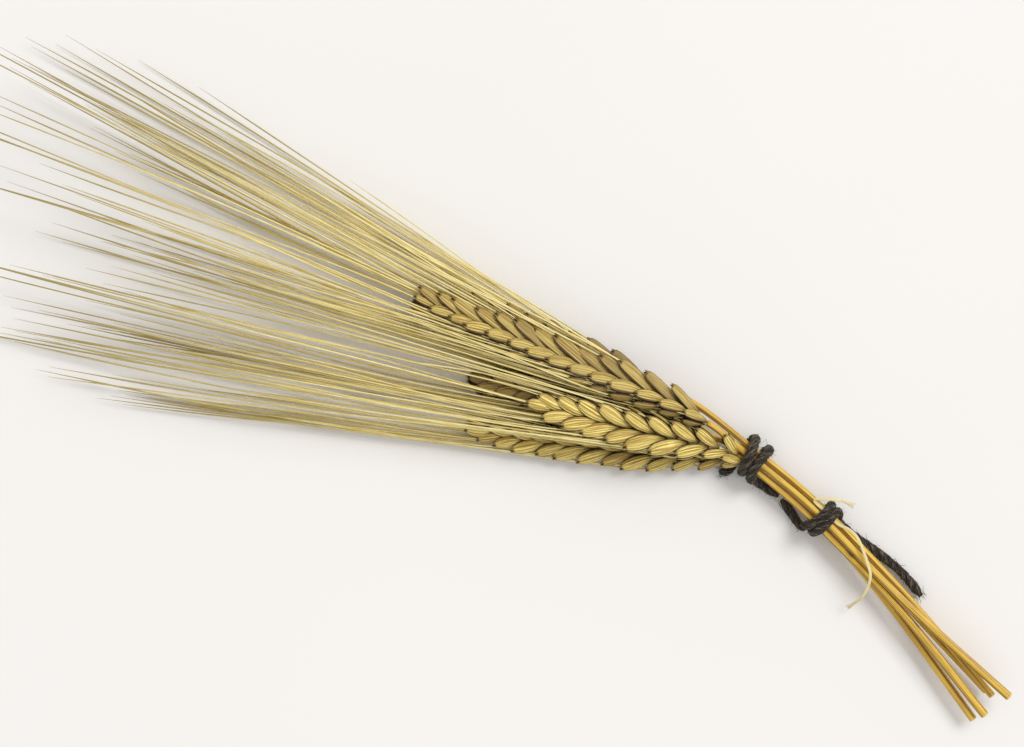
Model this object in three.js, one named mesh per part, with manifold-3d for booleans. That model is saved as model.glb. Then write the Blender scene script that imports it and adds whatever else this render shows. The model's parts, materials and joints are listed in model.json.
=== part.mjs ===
// A small bundle of five bearded wheat ears on short straws, bound with two ties of dark twine.
// It lies on a flat surface. Lengths are in millimetres: +Z is up, +X runs to the cut ends of the
// straws and -X to the tips of the awns, and the origin is under the middle of the bundle's outline.
import * as THREE from "three";
import { mergeVertices } from "three/addons/utils/BufferGeometryUtils.js";
import Module from "manifold-3d";

const wasm = await Module();
wasm.setup();

// Straws are hollow; only their cut ends show it.
const STRAW_RADIUS_EAR = 0.8;
const STRAW_SIDES = 7;
const STRAW_SEGMENTS = 10;
const STRAW_WALL = 0.45;
const HOLLOW_DEPTH = 3;
const LENGTH_STEPS = 40;

// Between a straw and its ear, and the shortest edge that fused scales keep
const FIT_GAP = 0.3;
const SMALLEST_EDGE = 0.05;

// Stations along the bundle's centre line. Where the ties hold the straws they stand in a ring round it,
// and beyond them they part into two groups.
const RING_RADIUS = 1.95;
const STATIONS = {
  upperTie: { x: 63.7, y: 5.9, z: 5.0, heading: -13 },
  between: { x: 75.3, y: 3.0, z: 5.1, heading: -16.5 },
  lowerTie: { x: 85.7, y: -0.4, z: 5.2, heading: -20 },
  parting: { x: 111.7, y: -11.2, z: 5.2, heading: -23 },
};

// Twine and the thin strand of straw fibre
const UPPER_TWINE_RADIUS = 1.3;
const LOWER_TWINE_RADIUS = 1.2;
const TWINE_SIDES = 7;
const UPPER_TURN_RADIUS = 4.65;
const LOWER_TURN_RADIUS = 4.6;
const STRAND_RADIUS = 0.35;
const STRAND_SIDES = 4;

// Ear: spikelets stand in two rows along the rachis, turn and turn about. A spikelet has two glumes, one on
// each face of the ear, and a floret that comes out from behind one of them.
const SPIKELET_PITCH = 2.7;
const FIRST_SPIKELET = 1.2;
const ROOM_AT_TIP = 5;
const SPIKELET_SUNK = 0.8;
const SPIKELET_OFFSET = 0.35;
const RACHIS_RADIUS_FOOT = 1.15;
const RACHIS_RADIUS_TIP = 0.9;
const RACHIS_SIDES = 5;
const RACHIS_SEGMENTS = 4;
const SPLAY_BASE = 24;
const SPLAY_TIP = 13;
const GLUME = { length: 9.2, width: 2.9, thickness: 2.1, flank: 0.75, lean: 13 };
const FLORET = { start: 4.2, flank: 1.35, widest: 3.4, radius: 1.05, length: 7.0 };
const UPPER_FLORETS = 0.65;

// Awns: three-sided needles that most florets run out into, and that fan out towards -X
const AWN_RADIUS_ROOT = 0.35;
const AWN_RADIUS_TIP = 0.12;
const AWN_SEGMENTS = 2;
const AWN_SIDES = 3;
const AWN_SEED = 3;
const AWN_TRIES = 60;
const AWN_SAMPLES = 36;
const AWN_FURTHEST = [-168, -148];
const AWN_LOWEST = 0.6;
const BEND_SHARE = 0.14;
const FAN_JITTER = 0.12;

// What an awn keeps clear of: other awns, straws, and ears by their half width and half thickness. A stalk
// is tested at samples of its axis that each stand for a short length of it.
const AWN_GAP = 1.15;
const STRAW_CLEARANCE = { across: 1.7, through: 1.7 };
const EAR_CLEARANCE = { across: 5.9, through: 4.2 };
const AXIS_SAMPLES = 80;
const AXIS_REACH = 3;
const NEARBY = 10;

// The middle of the outline, which the whole bundle is moved by
const OUTLINE_MIDDLE = { x: -9.66, y: -10.03 };

// Each stalk runs from its cut end over its place at the parting (across the bundle, and height) and its
// slot in the ring of straws (degrees from the +Y side) to the tip of its ear. The ear starts at point
// number "base" of its list, has grown to the share "vigour" of a full one, and is turned by "roll" about
// its own length. Its awns fan out between two directions (degrees from -X towards +Y), with the lengths in
// "reach", and rise by "rise" on their way.
const STALKS = [
  {
    name: "a",
    radius: 1.04,
    slot: 90,
    cut: [145.0, -20.5, 7.4],
    parting: [0.95, 7.7],
    ear: [[56.5, 7.6, 8.0], [49.6, 9.2, 9.5], [38, 9.6, 10.5], [19, 8.4, 10.4], [0, 7.5, 10.1], [-15.0, 6.7, 9.8],
      [-31.8, 6.2, 9.4]],
    base: 1,
    vigour: 1,
    roll: 34,
    fan: [-9, 6],
    reach: [125, 168],
    rise: [-0.5, 7],
  },
  {
    name: "b",
    radius: 1.04,
    slot: 162,
    cut: [141.8, -27.2, 6.2],
    parting: [-1.1, 6.2],
    ear: [[57.6, 5.2, 6.6], [49.9, 4.0, 8.4], [37.6, 1.3, 10.0], [25.1, -1.2, 10.1], [15, -3.0, 9.8],
      [4.8, -4.4, 9.6]],
    base: 0,
    vigour: 1,
    roll: -6,
    fan: [-17, -7],
    reach: [120, 160],
    rise: [-1, 5],
  },
  {
    name: "c",
    radius: 0.98,
    slot: 234,
    cut: [140.1, -29.4, 4.0],
    parting: [-2.3, 3.8],
    ear: [[57.4, 3.5, 3.5], [51.0, 1.0, 3.1], [37.6, -3.9, 3.2], [23.6, -8.4, 3.3], [9.6, -12.8, 3.2],
      [-5.5, -17.2, 3.1]],
    base: 0,
    vigour: 0.9,
    roll: -22,
    fan: [-18, -12],
    reach: [115, 150],
    rise: [-2, 0.5],
  },
  {
    name: "d",
    radius: 0.85,
    slot: 306,
    cut: [140.4, -21.8, 2.6],
    parting: [0.9, 2.9],
    ear: [[53.0, 6.9, 3.2], [45.0, 5.6, 3.2], [33.2, 3.9, 3.3], [18.1, 0.6, 3.3], [3.3, -2.8, 3.2],
      [-9.5, -6.0, 3.1]],
    base: 1,
    vigour: 1,
    roll: 15,
    fan: [-15, -5],
    reach: [115, 150],
    rise: [-2, 1],
  },
  {
    name: "e",
    radius: 0.9,
    slot: 18,
    cut: [141.6, -22.1, 5.3],
    parting: [2.4, 5.3],
    ear: [[46.3, 12.0, 4.2], [33.0, 12.6, 3.2], [12.3, 11.5, 3.0], [-4.3, 11.2, 2.9], [-22.6, 11.2, 2.8]],
    base: 1,
    vigour: 0.86,
    roll: 24,
    fan: [-1, 7],
    reach: [115, 160],
    rise: [-2, 1],
  },
];

const UP = new THREE.Vector3(0, 0, 1);
const radians = THREE.MathUtils.degToRad;
const mix = THREE.MathUtils.lerp;

const STRAW = new THREE.MeshStandardMaterial({ color: 0xc79a3c, roughness: 0.45, metalness: 0 });
const CHAFF = new THREE.MeshStandardMaterial({ color: 0xbfa055, roughness: 0.6, metalness: 0 });
const TWINE = new THREE.MeshStandardMaterial({ color: 0x35291c, roughness: 0.75, metalness: 0 });
const FIBRE = new THREE.MeshStandardMaterial({ color: 0xdfcf95, roughness: 0.7, metalness: 0 });

// A small repeatable random number generator, from 0 to 1.
function seeded(seed) {
  let state = seed;
  return () => {
    state = (state * 16807) % 2147483647;
    return state / 2147483647;
  };
}

function curveThrough(points) {
  const curve = new THREE.CatmullRomCurve3(points, false, "catmullrom", 0.5);
  curve.arcLengthDivisions = 600;
  return curve;
}

// A closed geometry as a solid that can be joined and cut.
function solidOf(geometry) {
  const bare = geometry.index ? geometry.toNonIndexed() : geometry.clone();
  bare.deleteAttribute("normal");
  bare.deleteAttribute("uv");
  const merged = mergeVertices(bare, 1e-4);
  const corners = Array.from(merged.index.array);
  const kept = [];
  for (let i = 0; i < corners.length; i += 3) {
    const [p, q, r] = corners.slice(i, i + 3);
    if (p !== q && q !== r && p !== r) kept.push(p, q, r);
  }
  const vertProperties = merged.attributes.position.array;
  const made = new wasm.Manifold(new wasm.Mesh({ numProp: 3, vertProperties, triVerts: new Uint32Array(kept) }));
  if (made.volume() < 0) throw new Error("a solid is inside out");
  return made;
}

function joined(solids) {
  return solids.reduce((whole, solid) => whole.add(solid));
}

// The largest body alone: a loose scrap is dropped, and a hollow that joining sealed is filled.
function largestBody(solid) {
  return solid.decompose().reduce((largest, body) => (body.volume() > largest.volume() ? body : largest));
}

function meshOf(name, solid, material) {
  const { vertProperties, triVerts } = solid.getMesh();
  const geometry = new THREE.BufferGeometry();
  geometry.setAttribute("position", new THREE.BufferAttribute(vertProperties, 3));
  geometry.setIndex(new THREE.BufferAttribute(triVerts, 1));
  geometry.computeVertexNormals();
  const mesh = new THREE.Mesh(geometry, material);
  mesh.name = name;
  return mesh;
}

// The surface that the bundle lies on cuts off whatever would sink below it.
const TABLE = solidOf(new THREE.BoxGeometry(400, 200, 20).translate(0, 0, -10));

function laidOnTable(solid) {
  return solid.subtract(TABLE);
}

// Point, direction and cross directions of a curve at a distance along it. "side" lies flat.
function frameAt(curve, distance, roll = 0) {
  const length = curve.getLength();
  const inside = THREE.MathUtils.clamp(distance, 0, length);
  const tangent = curve.getTangentAt(inside / length);
  const point = curve.getPointAt(inside / length).addScaledVector(tangent, distance - inside);
  const side = new THREE.Vector3().crossVectors(tangent, UP).normalize();
  const normal = new THREE.Vector3().crossVectors(side, tangent);
  side.applyAxisAngle(tangent, radians(roll));
  normal.applyAxisAngle(tangent, radians(roll));
  return { point, tangent, side, normal };
}

// Bends a geometry that stands along +Y to follow a curve: its heights become distances along the curve.
function bentAlong(geometry, curve) {
  const place = geometry.attributes.position;
  for (let i = 0; i < place.count; i++) {
    const { point, side, normal } = frameAt(curve, place.getY(i));
    point.addScaledVector(side, place.getX(i)).addScaledVector(normal, place.getZ(i));
    place.setXYZ(i, point.x, point.y, point.z);
  }
  return geometry;
}

function taperedTube(curve, from, to, radiusFrom, radiusTo, sides, segments) {
  const tube = new THREE.CylinderGeometry(radiusTo, radiusFrom, to - from, sides, segments);
  return solidOf(bentAlong(tube.translate(0, (from + to) / 2, 0), curve));
}

// A point beside the bundle, by its distance along it and across it from a station, and its height
function beside(station, along, across, z) {
  const heading = radians(station.heading);
  return new THREE.Vector3(
    station.x + along * Math.cos(heading) - across * Math.sin(heading),
    station.y + along * Math.sin(heading) + across * Math.cos(heading),
    z,
  );
}

// A point round the bundle's centre line, by its angle from the +Y side, rising over the top
function around(station, radius, degrees, along = 0) {
  const angle = radians(degrees);
  return beside(station, along, radius * Math.cos(angle), station.z + radius * Math.sin(angle));
}

// The way of a stalk from its cut end to the tip of its ear, and how far along the ear begins
function stalkCurve(stalk) {
  const { parting, lowerTie, between, upperTie } = STATIONS;
  const straw = [
    new THREE.Vector3(...stalk.cut),
    beside(parting, 0, ...stalk.parting),
    ...[lowerTie, between, upperTie].map((station) => around(station, RING_RADIUS, stalk.slot)),
  ];
  const points = [...straw, ...stalk.ear.map((p) => new THREE.Vector3(...p))];
  const curve = curveThrough(points);
  const baseIndex = straw.length + stalk.base;
  const lengths = curve.getLengths((points.length - 1) * LENGTH_STEPS);
  return { curve, baseAt: lengths[baseIndex * LENGTH_STEPS], tipAt: curve.getLength() };
}

function makeStraw({ radius }, { curve, baseAt }) {
  const end = baseAt - FIT_GAP;
  const straw = taperedTube(curve, 0, end, radius, STRAW_RADIUS_EAR, STRAW_SIDES, STRAW_SEGMENTS);
  const bore = radius - STRAW_WALL;
  return straw.subtract(taperedTube(curve, -1, HOLLOW_DEPTH, bore, bore, STRAW_SIDES, 1));
}

// A boat-shaped scale: pointed at both ends, with a keel along its outer side. Its outline is listed as
// half widths and heights, as shares of the whole.
const SCALE_OUTLINE = [[0, 0], [0.92, 0.34], [0.78, 0.76], [0, 1]].map(([r, y]) => new THREE.Vector2(r, y));
const SCALE_SIDES = 4;

function makeScale(size, growth, root, along, across, outward) {
  const scale = new THREE.LatheGeometry(SCALE_OUTLINE, SCALE_SIDES);
  scale.scale((size.width / 2) * growth, size.length * growth, (size.thickness / 2) * growth);
  const turn = new THREE.Matrix4().makeBasis(across, along, outward).setPosition(root);
  return solidOf(scale.applyMatrix4(turn));
}

// Spikelets are small at the foot of the ear, full from a quarter of the way up, and smaller at its tip.
function growthAt(share) {
  const foot = THREE.MathUtils.smoothstep(share, -0.1, 0.28);
  const tip = 1 - 0.3 * THREE.MathUtils.smoothstep(share, 0.7, 1);
  return mix(0.5, 1, foot) * tip;
}

// Every spikelet of an ear: its row, its root in the rachis, which way it points and how big it has grown
function spikeletsOf(stalk, { curve, baseAt, tipAt }) {
  const length = tipAt - baseAt;
  const count = Math.floor((length - FIRST_SPIKELET - ROOM_AT_TIP) / SPIKELET_PITCH);
  return Array.from({ length: count }, (_, i) => {
    const share = i / (count - 1);
    const distance = baseAt + FIRST_SPIKELET + i * SPIKELET_PITCH;
    const { point, tangent, side, normal } = frameAt(curve, distance, stalk.roll);
    const row = i % 2 ? 1 : -1;
    const growth = stalk.vigour * growthAt(share);
    const isLast = i === count - 1;
    const splay = isLast ? 0 : radians(mix(SPLAY_BASE, SPLAY_TIP, share * share));
    const outwards = side.clone().multiplyScalar(row);
    const along = tangent.clone().multiplyScalar(Math.cos(splay)).addScaledVector(outwards, Math.sin(splay));
    const root = point.addScaledVector(along, -SPIKELET_SUNK).addScaledVector(outwards, SPIKELET_OFFSET * growth);
    return { share, row, growth, along, normal, root };
  });
}

// Turns a scale's direction a little towards "outward", and gives its three axes.
function leaning(along, outward, degrees) {
  const lean = radians(degrees);
  const up = along.clone().multiplyScalar(Math.cos(lean)).addScaledVector(outward, Math.sin(lean));
  const out = outward.clone().multiplyScalar(Math.cos(lean)).addScaledVector(along, -Math.sin(lean));
  return { up, out, across: new THREE.Vector3().crossVectors(up, out) };
}

function makeGlumes({ along, normal, root, growth }) {
  return [-1, 1].map((flank) => {
    const { up, out, across } = leaning(along, normal.clone().multiplyScalar(flank), GLUME.lean);
    const foot = root.clone().addScaledVector(out, GLUME.flank * growth);
    return makeScale(GLUME, growth, foot, up, across, out);
  });
}

// The curve of an awn from the foot of its floret: first along the spikelet, then spread by the ear's fan.
// Awns from the foot of the ear spread furthest, so that they don't cross those from further up.
function awnPath({ stalk, sideY }, { root, along, normal, growth, row, share }, random) {
  const flank = random() < UPPER_FLORETS ? FLORET.flank : -FLORET.flank;
  const foot = root.clone().addScaledVector(along, FLORET.start * growth).addScaledVector(normal, flank * growth);
  const outerSide = Math.sign(row * sideY);
  const spread = 0.5 + outerSide * 0.5 * (1 - share) + FAN_JITTER * (random() - 0.5);
  const heading = radians(180 - mix(stalk.fan[0], stalk.fan[1], spread));
  const furthest = (foot.x - mix(...AWN_FURTHEST, random())) / -Math.cos(heading);
  const reach = Math.min(furthest, mix(...stalk.reach, random()));
  const tip = foot.clone().add(new THREE.Vector3(Math.cos(heading), Math.sin(heading), 0).multiplyScalar(reach));
  tip.z = Math.max(AWN_LOWEST, tip.z + mix(...stalk.rise, random()));
  const bend = foot.clone().addScaledVector(along, BEND_SHARE * reach);
  bend.z = mix(foot.z, tip.z, BEND_SHARE);
  return new THREE.QuadraticBezierCurve3(foot, bend, tip);
}

// A draw that would come too near another ear, its straw or its awns is thrown away and drawn again.
function drawAwn(plant, spikelet, others, random) {
  for (let attempt = 0; attempt < AWN_TRIES; attempt++) {
    const path = awnPath(plant, spikelet, random);
    const samples = path.getPoints(AWN_SAMPLES);
    if (samples.every((p) => others.every((other) => isClearOf(other, p)))) return { spikelet, path, samples };
  }
  return null;
}

const nearest = new THREE.Vector3();
const segment = new THREE.Line3();

function isClearOf({ awns, axis }, p) {
  const nearAwn = awns.some(({ samples }) => samples.some((sample, i) => {
    if (i === 0 || Math.abs(sample.x - p.x) > NEARBY) return false;
    segment.set(samples[i - 1], sample).closestPointToPoint(p, true, nearest);
    return nearest.distanceTo(p) < AWN_GAP;
  }));
  return !nearAwn && axis.every(({ point, tangent, side, normal, clearance }) => {
    const offset = nearest.copy(p).sub(point);
    const across = offset.dot(side) / clearance.across;
    const through = offset.dot(normal) / clearance.through;
    return Math.abs(offset.dot(tangent)) > AXIS_REACH || across * across + through * through > 1;
  });
}

function makeFloret({ path, spikelet: { growth } }) {
  const length = path.getLength();
  const scale = [[0, 0], [FLORET.radius, FLORET.widest]];
  const profile = scale.map(([radius, height]) => new THREE.Vector2(radius, height).multiplyScalar(growth));
  const tip = FLORET.length * growth;
  for (let i = 0; i <= AWN_SEGMENTS; i++) {
    const share = i / AWN_SEGMENTS;
    profile.push(new THREE.Vector2(mix(AWN_RADIUS_ROOT, AWN_RADIUS_TIP, share), mix(tip, length, share)));
  }
  profile.push(new THREE.Vector2(0, length));
  return solidOf(bentAlong(new THREE.LatheGeometry(profile, AWN_SIDES), path));
}

function makeEar({ made, spikelets, awns }) {
  const { curve, baseAt, tipAt } = made;
  const end = tipAt - ROOM_AT_TIP;
  const rachis = taperedTube(
    curve, baseAt, end, RACHIS_RADIUS_FOOT, RACHIS_RADIUS_TIP, RACHIS_SIDES, RACHIS_SEGMENTS,
  );
  const florets = awns.map(makeFloret);
  const fused = joined([rachis, ...spikelets.flatMap(makeGlumes), ...florets]);
  return largestBody(laidOnTable(fused).simplify(SMALLEST_EDGE));
}

// Twine is extruded along its route with a section of equal sides.
function makeTwine(points, radius, sides, steps) {
  const corners = Array.from({ length: sides }, (_, i) => {
    const angle = (2 * Math.PI * i) / sides;
    return new THREE.Vector2(radius * Math.cos(angle), radius * Math.sin(angle));
  });
  const route = curveThrough(points);
  const options = { steps, bevelEnabled: false, extrudePath: route };
  return solidOf(new THREE.ExtrudeGeometry(new THREE.Shape(corners), options));
}

// Upper tie: a short end on the table under the ears, two turns that draw together on the near side, and
// a long end beside the straws. Each turn is listed by its angle and how far along the bundle it is.
function makeUpperTie() {
  const at = STATIONS.upperTie;
  const turns = [[-80, -3.5], [-40, -3.3], [0, -3.0], [40, -2.3], [80, -1.2], [120, -0.1], [160, 0.7], [200, 1.1],
    [240, 1.3], [280, 1.7], [320, 2.3], [360, 2.6], [400, 2.5], [440, 2.3], [480, 2.5], [520, 3.1], [556, 3.9]];
  const route = [
    beside(at, -4.8, -5.6, 1.35),
    beside(at, -4.1, -3.0, 1.3),
    ...turns.map(([angle, along]) => around(at, UPPER_TURN_RADIUS, angle, along)),
    beside(at, 5.4, -3.6, 1.7),
    beside(at, 7.6, -3.3, 1.35),
    beside(at, 10.4, -3.1, 1.3),
  ];
  return laidOnTable(makeTwine(route, UPPER_TWINE_RADIUS, TWINE_SIDES, 48));
}

// Lower tie: a loose end beside the straws, two turns side by side, and a long end on the far side
function makeLowerTie() {
  const at = STATIONS.lowerTie;
  const turns = [[176, -1.6], [136, -1.7], [96, -1.9], [56, -2.2], [16, -2.1], [-24, -1.7], [-64, -1.2], [-104, -0.6],
    [-144, 0.2], [-184, 0.9], [-224, 1.1], [-264, 0.9], [-304, 0.8], [-344, 1.0], [-384, 1.9], [-412, 3.0]];
  const route = [
    beside(at, -10.9, -3.7, 1.3),
    beside(at, -8.2, -4.0, 1.2),
    beside(at, -5.2, -4.6, 1.4),
    beside(at, -2.9, -5.0, 3.0),
    ...turns.map(([angle, along]) => around(at, LOWER_TURN_RADIUS, angle, along)),
    beside(at, 6.6, 2.5, 1.25),
    beside(at, 10.6, 3.2, 1.2),
    beside(at, 18.2, 4.3, 1.3),
    beside(at, 24.1, 4.7, 1.6),
    beside(at, 30.6, 3.9, 2.1),
  ];
  return laidOnTable(makeTwine(route, LOWER_TWINE_RADIUS, TWINE_SIDES, 60));
}

// A strand of pale fibre: held under the lower tie, with one end free in the air and one lying over the straws
function makeStrand() {
  const at = STATIONS.lowerTie;
  const valley = (along) => beside(at, along, 1.65, at.z + 2.3);
  const route = [
    beside(at, 2.4, 7.7, 5.8),
    beside(at, 0.2, 6.9, 7.6),
    beside(at, -1.9, 5.8, 8.7),
    beside(at, -4.1, 3.9, 8.4),
    valley(-5.8),
    valley(-1.5),
    valley(2.5),
    beside(at, 5.2, 2.6, 8.2),
    beside(at, 8.4, 2.5, 9.2),
    beside(at, 14.2, -0.1, 9.6),
    beside(at, 17.4, -2.3, 9.2),
    beside(at, 19.6, -6.6, 6.8),
    beside(at, 19.6, -11.5, 2.0),
  ];
  return makeTwine(route, STRAND_RADIUS, STRAND_SIDES, 32);
}

const bundle = new THREE.Group();
bundle.name = "wheat_bundle";
bundle.position.set(-OUTLINE_MIDDLE.x, -OUTLINE_MIDDLE.y, 0);

const random = seeded(AWN_SEED);
const plants = STALKS.map((stalk) => {
  const made = stalkCurve(stalk);
  const { side } = frameAt(made.curve, made.tipAt - 1, stalk.roll);
  return { stalk, made, spikelets: spikeletsOf(stalk, made), awns: [], axis: [], sideY: side.y };
});

for (const { made, stalk, axis } of plants) {
  for (let i = 0; i <= AXIS_SAMPLES; i++) {
    const distance = (made.tipAt * i) / AXIS_SAMPLES;
    const clearance = distance > made.baseAt ? EAR_CLEARANCE : STRAW_CLEARANCE;
    axis.push({ ...frameAt(made.curve, distance, stalk.roll), clearance });
  }
}

for (const plant of plants) {
  const others = plants.filter((other) => other !== plant);
  plant.awns = plant.spikelets.map((spikelet) => drawAwn(plant, spikelet, others, random)).filter(Boolean);
}

for (const plant of plants) {
  const { name } = plant.stalk;
  bundle.add(meshOf(`straw_${name}`, makeStraw(plant.stalk, plant.made), STRAW));
  bundle.add(meshOf(`ear_${name}`, makeEar(plant), CHAFF));
}
bundle.add(meshOf("tie_upper", makeUpperTie(), TWINE));
bundle.add(meshOf("tie_lower", makeLowerTie(), TWINE));
bundle.add(meshOf("fibre_strand", makeStrand(), FIBRE));

export default bundle;
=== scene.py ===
# %% [markdown]
# # A bundle of bearded wheat
# Five dried ears on short straws are tied with dark twine and lie on a pale table. Each straw, ear and tie
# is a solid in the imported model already, and this lesson dresses them: finer scales and awns on the ears,
# grooved hollow straws, and twine that shows its twisted plies. Lengths are worked out in millimetres,
# because plants are measured that way, and become metres in one place.

import json
import math

import bpy
import numpy as np
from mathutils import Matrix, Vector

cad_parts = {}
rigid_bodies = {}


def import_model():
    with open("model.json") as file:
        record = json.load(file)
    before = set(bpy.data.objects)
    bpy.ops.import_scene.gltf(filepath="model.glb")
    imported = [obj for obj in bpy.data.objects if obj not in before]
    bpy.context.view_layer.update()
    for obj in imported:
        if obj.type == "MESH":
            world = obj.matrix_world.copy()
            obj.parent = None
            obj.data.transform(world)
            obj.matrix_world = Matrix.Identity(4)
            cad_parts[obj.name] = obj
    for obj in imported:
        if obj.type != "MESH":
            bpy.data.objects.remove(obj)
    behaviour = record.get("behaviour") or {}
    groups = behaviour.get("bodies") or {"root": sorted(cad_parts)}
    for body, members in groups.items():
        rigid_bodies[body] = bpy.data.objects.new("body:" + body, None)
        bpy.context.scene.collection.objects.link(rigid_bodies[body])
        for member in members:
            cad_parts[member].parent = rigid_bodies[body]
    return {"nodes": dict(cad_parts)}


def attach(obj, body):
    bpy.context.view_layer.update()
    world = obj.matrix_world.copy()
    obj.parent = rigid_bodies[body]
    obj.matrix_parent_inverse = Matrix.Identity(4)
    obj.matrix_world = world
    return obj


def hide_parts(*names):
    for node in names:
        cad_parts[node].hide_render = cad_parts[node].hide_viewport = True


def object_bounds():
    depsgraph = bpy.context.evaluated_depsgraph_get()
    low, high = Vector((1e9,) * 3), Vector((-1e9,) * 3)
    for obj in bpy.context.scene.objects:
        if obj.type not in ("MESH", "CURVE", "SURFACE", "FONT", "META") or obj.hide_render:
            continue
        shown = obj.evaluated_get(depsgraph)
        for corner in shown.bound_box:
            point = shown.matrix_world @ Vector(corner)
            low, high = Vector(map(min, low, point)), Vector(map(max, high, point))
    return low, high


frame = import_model()
cad_box = [list(corner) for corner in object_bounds()]
MM = 0.001
OUTLINE_MIDDLE = np.array([-9.66, -10.03, 0.0])


def in_metres(points):
    return (np.asarray(points, float) - OUTLINE_MIDDLE) * MM


print("nodes", len(frame["nodes"]), "box", cad_box)

# %% [markdown]
# ## The camera
# The photo looks straight down. The camera's height and lens make one pixel a quarter of a millimetre on
# the table, and its turn lays the bundle across the picture as the photo shows it. A long lens from further
# away would look flatter, and a short one would show the sides of the straws.

# %% Set up the camera
CAMERA_HEIGHT = 604.4
CAMERA_TURN = 25
LENS = 85

camera_data = bpy.data.cameras.new("camera")
camera_data.lens = LENS
camera_data.clip_start = 0.01
camera = bpy.data.objects.new("camera", camera_data)
camera.location = in_metres([0, 0, CAMERA_HEIGHT])
camera.rotation_euler = (0, 0, math.radians(CAMERA_TURN))
bpy.context.collection.objects.link(camera)
bpy.context.scene.camera = camera
print("camera at", tuple(round(value, 4) for value in camera.location))

# %% [markdown]
# ## Routes
# Everything here follows a curved line: a straw, the stem inside an ear, a turn of twine. A Catmull-Rom
# curve goes through every point that it is given, so a place that was read from the photo stays where it
# was read. The solids were made on the same kind of curve, and the stalks here have the same points as
# theirs, so each dressed piece lies over its solid. Only the ties are drawn a little tighter.

# %% Curves through points
UP = np.array([0.0, 0.0, 1.0])
LOOK_AHEAD = 0.2


def unit(vector):
    return vector / np.linalg.norm(vector)


def turned(vector, axis, degrees):
    """A vector turned about an axis that it stands square to."""
    angle = math.radians(degrees)
    return vector * math.cos(angle) + np.cross(axis, vector) * math.sin(angle)


class Route:
    """A smooth curve through points, in millimetres. Its knots are the distances of those points."""

    def __init__(self, points, steps=40):
        points = np.asarray(points, float)
        ends = [2 * points[0] - points[1], 2 * points[-1] - points[-2]]
        padded = np.vstack([ends[0], points, ends[1]])
        t = np.linspace(0, 1, steps, endpoint=False)[:, None]
        pieces = []
        for p0, p1, p2, p3 in zip(padded, padded[1:], padded[2:], padded[3:]):
            cubic = 2 * p1 + (p2 - p0) * t + (2 * p0 - 5 * p1 + 4 * p2 - p3) * t**2
            pieces.append(0.5 * (cubic + (3 * p1 - p0 - 3 * p2 + p3) * t**3))
        self.points = np.vstack([*pieces, points[-1:]])
        strides = np.linalg.norm(np.diff(self.points, axis=0), axis=1)
        self.distances = np.concatenate([[0], np.cumsum(strides)])
        self.length = self.distances[-1]
        self.knots = self.distances[::steps]

    def at(self, distance):
        """Point and direction at a distance, straight on past either end."""
        inside = np.clip(distance, 0, self.length)
        stops = np.clip([inside - LOOK_AHEAD, inside, inside + LOOK_AHEAD], 0, self.length)
        places = np.stack([np.interp(stops, self.distances, axis) for axis in self.points.T], axis=1)
        direction = unit(places[2] - places[0])
        return places[1] + direction * (distance - inside), direction

    def frame(self, distance, roll=0):
        """Point, direction, side and normal. The side lies flat, and both turn by the roll."""
        point, direction = self.at(distance)
        side = unit(np.cross(direction, UP))
        normal = np.cross(side, direction)
        return point, direction, turned(side, direction, roll), turned(normal, direction, roll)

    def points_at(self, distances):
        return np.array([self.at(distance)[0] for distance in distances])


# %% Places beside and round the bundle
def beside(station, along, across, height):
    """A point beside the bundle: along and across it from a station, at a height."""
    heading = math.radians(station["heading"])
    cos, sin = math.cos(heading), math.sin(heading)
    return [station["x"] + along * cos - across * sin, station["y"] + along * sin + across * cos, height]


def around(station, radius, degrees, along=0.0):
    """A point round the bundle's centre line, by its angle from the +Y side."""
    angle = math.radians(degrees)
    return beside(station, along, radius * math.cos(angle), station["z"] + radius * math.sin(angle))


STATIONS = {
    "upper_tie": {"x": 63.7, "y": 5.9, "z": 5.0, "heading": -13},
    "between": {"x": 75.3, "y": 3.0, "z": 5.1, "heading": -16.5},
    "lower_tie": {"x": 85.7, "y": -0.4, "z": 5.2, "heading": -20},
    "parting": {"x": 111.7, "y": -11.2, "z": 5.2, "heading": -23},
}
RING_RADIUS = 1.95
print("stations along the bundle", list(STATIONS))

# %% [markdown]
# ## The five stalks
# A stalk's straw comes from its cut end, over its place where the straws part, and through its slot in the
# ring that the ties hold. Its ear starts at one of the last points, is rolled about its own length, and
# throws its awns out in a fan. They could be drawn at random, but each was read from the photo, because a
# bundle of five is few enough to be known by its own ears.

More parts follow.
